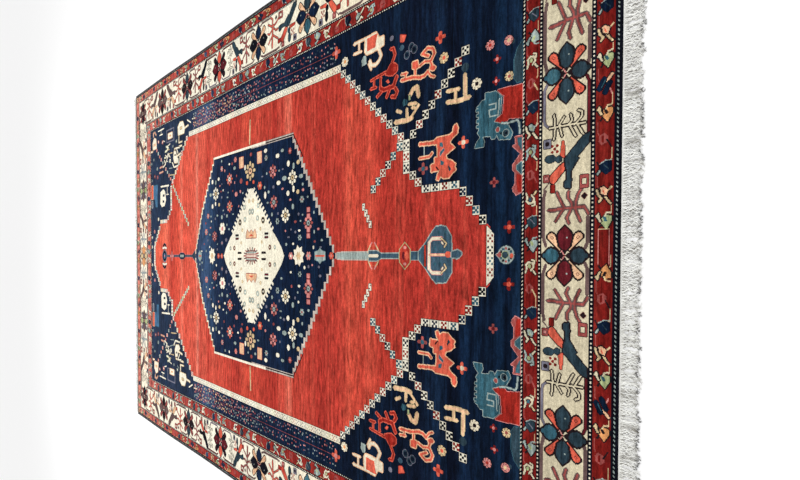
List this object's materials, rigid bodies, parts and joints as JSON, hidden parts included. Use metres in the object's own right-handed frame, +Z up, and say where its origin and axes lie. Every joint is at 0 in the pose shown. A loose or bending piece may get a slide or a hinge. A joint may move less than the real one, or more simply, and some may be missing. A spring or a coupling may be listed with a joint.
{
  "type": "hand-knotted rug",
  "caption": "Large hand-knotted wool rug lying flat, with a hexagonal medallion on a red field, an ivory main border, overcast side cords and cotton fringe at both ends.",
  "frame": {"origin": "on the floor under the middle of the rug", "axes": "+Y along the rug's length, towards the far end; +X across it; +Z up out of the pile"},
  "size_m": [3.05, 4.4006, 0.009],
  "materials": {
    "wool_pile": "clipped wool pile, dyed in red, navy, ivory, teal and coral, soft sheen",
    "overcast_wool": "matt dark wool wrapped round a cord",
    "cotton_warp": "matt undyed cotton, twisted"
  },
  "bodies": {
    "root": {"pile_sheet": "wool_pile", "edge_cord_left": "overcast_wool", "edge_cord_right": "overcast_wool", "cotton_end_near": "cotton_warp", "cotton_end_far": "cotton_warp"}
  },
  "joints": []
}
